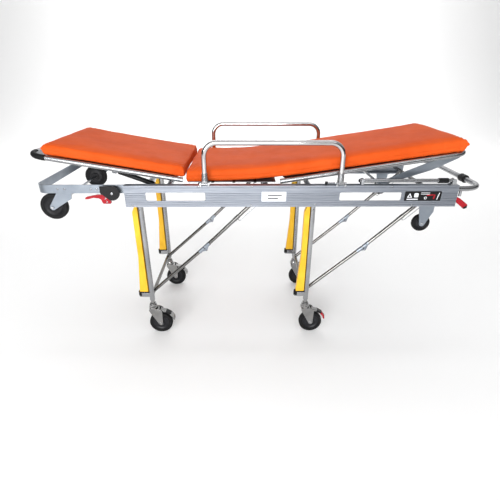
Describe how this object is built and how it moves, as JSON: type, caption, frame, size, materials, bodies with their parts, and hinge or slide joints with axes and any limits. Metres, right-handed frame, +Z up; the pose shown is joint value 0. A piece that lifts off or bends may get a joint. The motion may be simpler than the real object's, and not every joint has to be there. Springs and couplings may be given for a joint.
{
  "type": "ambulance cot",
  "caption": "Wheeled ambulance cot with orange pads, folding legs on castors, side guards, loading wheels and a rear handle.",
  "frame": {"origin": "on the floor under the middle of the cot", "axes": "+Z up, +X towards the foot (handle) end, +Y towards the right side"},
  "size_m": [1.9386, 0.606, 0.976],
  "materials": {
    "aluminium_tube": "brushed, satin anodised",
    "aluminium_beam": "ribbed extrusion, satin",
    "chrome_steel": "polished plate",
    "black_rubber": "matt tread and hub",
    "black_plastic": "fine moulded grain",
    "red_plastic": "satin moulded",
    "yellow_plastic": "satin moulded",
    "orange_vinyl": "coated fabric with welded seams"
  },
  "bodies": {
    "root": {"left_side_beam": "aluminium_beam", "right_side_beam": "aluminium_beam", "loading_frame": "aluminium_tube", "loading_wheel_axle": "chrome_steel", "left_loading_bracket": "aluminium_tube", "right_loading_bracket": "aluminium_tube", "left_lock_cover": "black_plastic", "right_lock_cover": "black_plastic", "rear_handle": "aluminium_tube", "handle_collar": "black_plastic", "left_tail_bracket": "aluminium_tube", "right_tail_bracket": "aluminium_tube", "drip_pole_bracket": "chrome_steel", "seat_deck": "aluminium_tube", "seat_pad": "orange_vinyl", "gas_spring_crossbar": "aluminium_tube"},
    "backrest": {"backrest_frame": "aluminium_tube", "backrest_pad": "orange_vinyl"},
    "gas_spring_rod": {"gas_spring_rod": "chrome_steel"},
    "gas_spring_cylinder": {"gas_spring_cylinder": "black_plastic"},
    "leg_section": {"leg_section_frame": "aluminium_tube", "leg_section_pad": "orange_vinyl"},
    "leg_prop": {"leg_prop": "aluminium_tube"},
    "left_guard": {"left_side_guard": "aluminium_tube"},
    "left_latch": {"left_guard_latch": "chrome_steel"},
    "right_guard": {"right_side_guard": "aluminium_tube"},
    "right_latch": {"right_guard_latch": "chrome_steel"},
    "front_legs": {"front_leg_frame": "aluminium_tube", "front_left_leg_guard": "yellow_plastic", "front_right_leg_guard": "yellow_plastic"},
    "front_upper_brace": {"front_upper_brace": "aluminium_tube"},
    "front_lower_brace": {"front_lower_brace": "aluminium_tube"},
    "front_left_castor": {"front_left_castor_fork": "chrome_steel"},
    "front_left_wheel": {"front_left_castor_wheel": "black_rubber"},
    "front_left_pedal": {"front_left_brake_pedal": "red_plastic"},
    "front_right_castor": {"front_right_castor_fork": "chrome_steel"},
    "front_right_wheel": {"front_right_castor_wheel": "black_rubber"},
    "front_right_pedal": {"front_right_brake_pedal": "red_plastic"},
    "rear_legs": {"rear_leg_frame": "aluminium_tube", "rear_left_leg_guard": "yellow_plastic", "rear_right_leg_guard": "yellow_plastic"},
    "rear_upper_brace": {"rear_upper_brace": "aluminium_tube"},
    "rear_lower_brace": {"rear_lower_brace": "aluminium_tube"},
    "rear_left_castor": {"rear_left_castor_fork": "chrome_steel"},
    "rear_left_wheel": {"rear_left_castor_wheel": "black_rubber"},
    "rear_left_pedal": {"rear_left_brake_pedal": "red_plastic"},
    "rear_right_castor": {"rear_right_castor_fork": "chrome_steel"},
    "rear_right_wheel": {"rear_right_castor_wheel": "black_rubber"},
    "rear_right_pedal": {"rear_right_brake_pedal": "red_plastic"},
    "left_loading_wheel_body": {"left_loading_wheel": "black_rubber"},
    "left_tail_wheel_body": {"left_tail_wheel": "black_rubber"},
    "left_lock": {"left_lock_lever": "red_plastic"},
    "right_loading_wheel_body": {"right_loading_wheel": "black_rubber"},
    "right_tail_wheel_body": {"right_tail_wheel": "black_rubber"},
    "right_lock": {"right_lock_lever": "red_plastic"},
    "foot_release": {"foot_release_lever": "red_plastic"},
    "drip_pole_body": {"drip_pole": "aluminium_tube"}
  },
  "joints": [
    {"name": "backrest_tilt", "type": "hinge", "parent": "root", "child": "backrest", "pos_m": [-0.335, 0, 0.8], "axis": [0, 1, 0], "range_deg": [-9.5, 65]},
    {"name": "gas_spring_swing", "type": "hinge", "parent": "root", "child": "gas_spring_rod", "pos_m": [-0.43, -0.15, 0.734], "axis": [0, 1, 0], "range_deg": [-11, 67]},
    {"name": "gas_spring_stroke", "type": "slide", "parent": "gas_spring_rod", "child": "gas_spring_cylinder", "axis": [-0.9368, 0, 0.35], "range_m": [-0.0187, 0.1252]},
    {"name": "leg_section_tilt", "type": "hinge", "parent": "root", "child": "leg_section", "pos_m": [0.066, 0, 0.794], "axis": [0, -1, 0], "range_deg": [-8.6, 5]},
    {"name": "leg_prop_swing", "type": "hinge", "parent": "root", "child": "leg_prop", "pos_m": [0.51, 0, 0.776], "axis": [0, -1, 0], "range_deg": [-24, 14.5]},
    {"name": "left_guard_fold", "type": "hinge", "parent": "root", "child": "left_guard", "pos_m": [0.039, -0.297, 0.797], "axis": [1, 0, 0], "range_deg": [0, 175]},
    {"name": "left_latch_pull", "type": "slide", "parent": "root", "child": "left_latch", "axis": [-1, 0, 0], "range_m": [0, 0.008], "stiffness_N_per_m": 400},
    {"name": "right_guard_fold", "type": "hinge", "parent": "root", "child": "right_guard", "pos_m": [0.039, 0.297, 0.797], "axis": [-1, 0, 0], "range_deg": [0, 175]},
    {"name": "right_latch_pull", "type": "slide", "parent": "root", "child": "right_latch", "axis": [-1, 0, 0], "range_m": [0, 0.008], "stiffness_N_per_m": 400},
    {"name": "front_leg_fold", "type": "hinge", "parent": "root", "child": "front_legs", "pos_m": [-0.54, 0, 0.728], "axis": [0, -1, 0], "range_deg": [0, 78]},
    {"name": "front_brace_swing", "type": "hinge", "parent": "root", "child": "front_upper_brace", "pos_m": [0.008, 0, 0.728], "axis": [0, -1, 0], "range_deg": [-44, 0]},
    {"name": "front_knee_fold", "type": "hinge", "parent": "front_upper_brace", "child": "front_lower_brace", "pos_m": [-0.26325, 0, 0.4429], "axis": [0, -1, 0], "range_deg": [0, 170]},
    {"name": "front_left_castor_swivel", "type": "hinge", "parent": "front_legs", "child": "front_left_castor", "pos_m": [-0.54, -0.236, 0.17], "axis": [0, 0, 1], "continuous": true},
    {"name": "front_left_castor_roll", "type": "hinge", "parent": "front_left_castor", "child": "front_left_wheel", "pos_m": [-0.508, -0.236, 0.058], "axis": [0, 1, 0], "continuous": true},
    {"name": "front_left_brake_press", "type": "hinge", "parent": "front_left_castor", "child": "front_left_pedal", "pos_m": [-0.504, -0.236, 0.13], "axis": [0, 1, 0], "range_deg": [0, 6]},
    {"name": "front_right_castor_swivel", "type": "hinge", "parent": "front_legs", "child": "front_right_castor", "pos_m": [-0.54, 0.236, 0.17], "axis": [0, 0, 1], "continuous": true},
    {"name": "front_right_castor_roll", "type": "hinge", "parent": "front_right_castor", "child": "front_right_wheel", "pos_m": [-0.508, 0.236, 0.058], "axis": [0, 1, 0], "continuous": true},
    {"name": "front_right_brake_press", "type": "hinge", "parent": "front_right_castor", "child": "front_right_pedal", "pos_m": [-0.504, 0.236, 0.13], "axis": [0, 1, 0], "range_deg": [0, 6]},
    {"name": "rear_leg_fold", "type": "hinge", "parent": "root", "child": "rear_legs", "pos_m": [0.224, 0, 0.728], "axis": [0, -1, 0], "range_deg": [0, 78]},
    {"name": "rear_brace_swing", "type": "hinge", "parent": "root", "child": "rear_upper_brace", "pos_m": [0.772, 0, 0.728], "axis": [0, -1, 0], "range_deg": [-44, 0]},
    {"name": "rear_knee_fold", "type": "hinge", "parent": "rear_upper_brace", "child": "rear_lower_brace", "pos_m": [0.50075, 0, 0.4429], "axis": [0, -1, 0], "range_deg": [0, 170]},
    {"name": "rear_left_castor_swivel", "type": "hinge", "parent": "rear_legs", "child": "rear_left_castor", "pos_m": [0.224, -0.236, 0.17], "axis": [0, 0, 1], "continuous": true},
    {"name": "rear_left_castor_roll", "type": "hinge", "parent": "rear_left_castor", "child": "rear_left_wheel", "pos_m": [0.256, -0.236, 0.058], "axis": [0, 1, 0], "continuous": true},
    {"name": "rear_left_brake_press", "type": "hinge", "parent": "rear_left_castor", "child": "rear_left_pedal", "pos_m": [0.26, -0.236, 0.13], "axis": [0, 1, 0], "range_deg": [0, 6]},
    {"name": "rear_right_castor_swivel", "type": "hinge", "parent": "rear_legs", "child": "rear_right_castor", "pos_m": [0.224, 0.236, 0.17], "axis": [0, 0, 1], "continuous": true},
    {"name": "rear_right_castor_roll", "type": "hinge", "parent": "rear_right_castor", "child": "rear_right_wheel", "pos_m": [0.256, 0.236, 0.058], "axis": [0, 1, 0], "continuous": true},
    {"name": "rear_right_brake_press", "type": "hinge", "parent": "rear_right_castor", "child": "rear_right_pedal", "pos_m": [0.26, 0.236, 0.13], "axis": [0, 1, 0], "range_deg": [0, 6]},
    {"name": "left_loading_roll", "type": "hinge", "parent": "root", "child": "left_loading_wheel_body", "pos_m": [-0.904, -0.253, 0.688], "axis": [0, 1, 0], "continuous": true},
    {"name": "left_tail_roll", "type": "hinge", "parent": "root", "child": "left_tail_wheel_body", "pos_m": [0.702, -0.272, 0.615], "axis": [0, 1, 0], "continuous": true},
    {"name": "left_lock_press", "type": "hinge", "parent": "root", "child": "left_lock", "pos_m": [-0.672, -0.28, 0.738], "axis": [0, -1, 0], "range_deg": [0, 14], "stiffness_Nm_per_rad": 1.2},
    {"name": "right_loading_roll", "type": "hinge", "parent": "root", "child": "right_loading_wheel_body", "pos_m": [-0.904, 0.253, 0.688], "axis": [0, 1, 0], "continuous": true},
    {"name": "right_tail_roll", "type": "hinge", "parent": "root", "child": "right_tail_wheel_body", "pos_m": [0.702, 0.272, 0.615], "axis": [0, 1, 0], "continuous": true},
    {"name": "right_lock_press", "type": "hinge", "parent": "root", "child": "right_lock", "pos_m": [-0.672, 0.28, 0.738], "axis": [0, -1, 0], "range_deg": [0, 14], "stiffness_Nm_per_rad": 1.2},
    {"name": "foot_release_press", "type": "hinge", "parent": "root", "child": "foot_release", "pos_m": [0.826, -0.277, 0.73], "axis": [0, 1, 0], "range_deg": [0, 20], "stiffness_Nm_per_rad": 1.2},
    {"name": "drip_pole_raise", "type": "hinge", "parent": "root", "child": "drip_pole_body", "pos_m": [0.803, -0.278, 0.806], "axis": [0, 1, 0], "range_deg": [0, 90]}
  ],
  "couplings": [
    {"joint": "gas_spring_swing", "follows": "backrest_tilt", "ratio": 1.0117},
    {"joint": "gas_spring_stroke", "follows": "backrest_tilt", "m_per_rad": 0.10952},
    {"joint": "leg_prop_swing", "follows": "leg_section_tilt", "ratio": 2.65},
    {"joint": "front_brace_swing", "follows": "front_leg_fold", "ratio": -0.5599},
    {"joint": "front_knee_fold", "follows": "front_leg_fold", "ratio": 2.1765},
    {"joint": "rear_brace_swing", "follows": "rear_leg_fold", "ratio": -0.5599},
    {"joint": "rear_knee_fold", "follows": "rear_leg_fold", "ratio": 2.1765}
  ]
}
